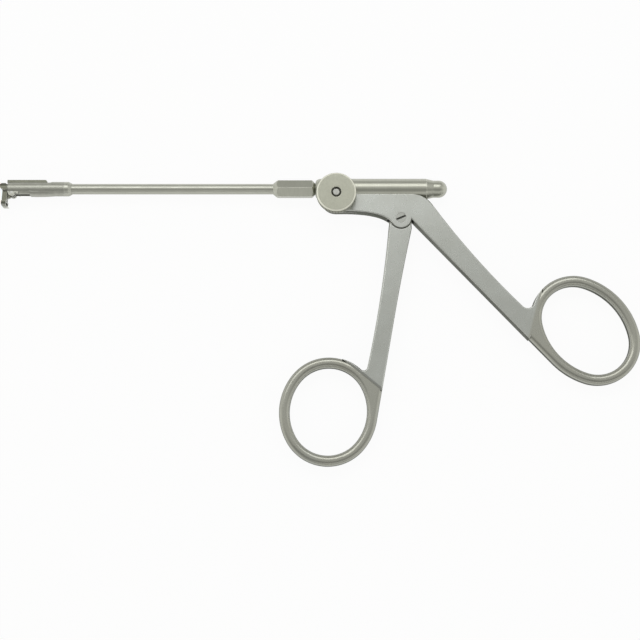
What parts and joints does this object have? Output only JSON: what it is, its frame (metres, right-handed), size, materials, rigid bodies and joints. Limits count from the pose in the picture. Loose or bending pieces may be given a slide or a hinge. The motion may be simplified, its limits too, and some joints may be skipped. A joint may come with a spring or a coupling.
{
  "type": "nasal backbiter forceps",
  "caption": "Ring-handled surgical forceps with a long turning shaft, a backward-biting jaw at the tip and a knurled wheel that locks the shaft.",
  "frame": {"origin": "on the axis of the handle pivot, in the flat back face of the rear handle", "axes": "+X from the tip back to the finger rings, +Y from the rings up to the shaft, +Z along the pivot axis to the lock wheel's side"},
  "size_m": [0.2253, 0.1025, 0.0112],
  "materials": {
    "handle_steel": "satin stainless steel",
    "barrel_steel": "satin stainless steel, slightly warm",
    "wheel_steel": "matt blasted stainless steel",
    "tube_steel": "matt stainless steel",
    "tip_steel": "satin stainless steel",
    "rod_steel": "plain stainless steel",
    "screw_steel": "bright stainless steel"
  },
  "bodies": {
    "handle": {"rear_handle": "handle_steel", "barrel": "barrel_steel", "end_cap": "barrel_steel", "pivot_screw": "screw_steel", "clamp_stud": "screw_steel", "wheel_washer": "screw_steel"},
    "squeeze_handle": {"front_handle": "handle_steel"},
    "wheel": {"lock_wheel": "wheel_steel"},
    "shaft": {"swivel_hub": "barrel_steel", "outer_tube": "tube_steel", "ferrule_ring": "tube_steel", "fixed_jaw": "tip_steel", "channel_cover": "tip_steel", "jaw_hinge_pin": "screw_steel"},
    "rod": {"push_rod": "rod_steel", "drive_fork": "rod_steel", "rod_spool": "rod_steel", "spool_nut": "rod_steel", "spool_pin": "screw_steel"},
    "jaw": {"back_jaw": "tip_steel", "drive_pin": "screw_steel"}
  },
  "joints": [
    {"name": "squeeze", "type": "hinge", "parent": "handle", "child": "squeeze_handle", "pos_m": [0, 0, 0.00275], "axis": [0, 0, 1], "range_deg": [0, 14]},
    {"name": "lock_turn", "type": "hinge", "parent": "handle", "child": "wheel", "pos_m": [-0.0229, 0.0081, 0.0085], "axis": [0, 0, 1], "range_deg": [0, 180]},
    {"name": "shaft_turn", "type": "hinge", "parent": "handle", "child": "shaft", "pos_m": [0, 0.0111, 0.00275], "axis": [1, 0, 0], "continuous": true},
    {"name": "rod_slide", "type": "slide", "parent": "shaft", "child": "rod", "axis": [-1, 0, 0], "range_m": [0, 0.00271]},
    {"name": "jaw_turn", "type": "hinge", "parent": "shaft", "child": "jaw", "pos_m": [-0.138, 0.0094, 0.00275], "axis": [0, 0, 1], "range_deg": [0, 90]}
  ],
  "couplings": [
    {"joint": "rod_slide", "follows": "squeeze", "m_per_rad": 0.011072},
    {"joint": "jaw_turn", "follows": "squeeze", "ratio": 6.4286}
  ]
}
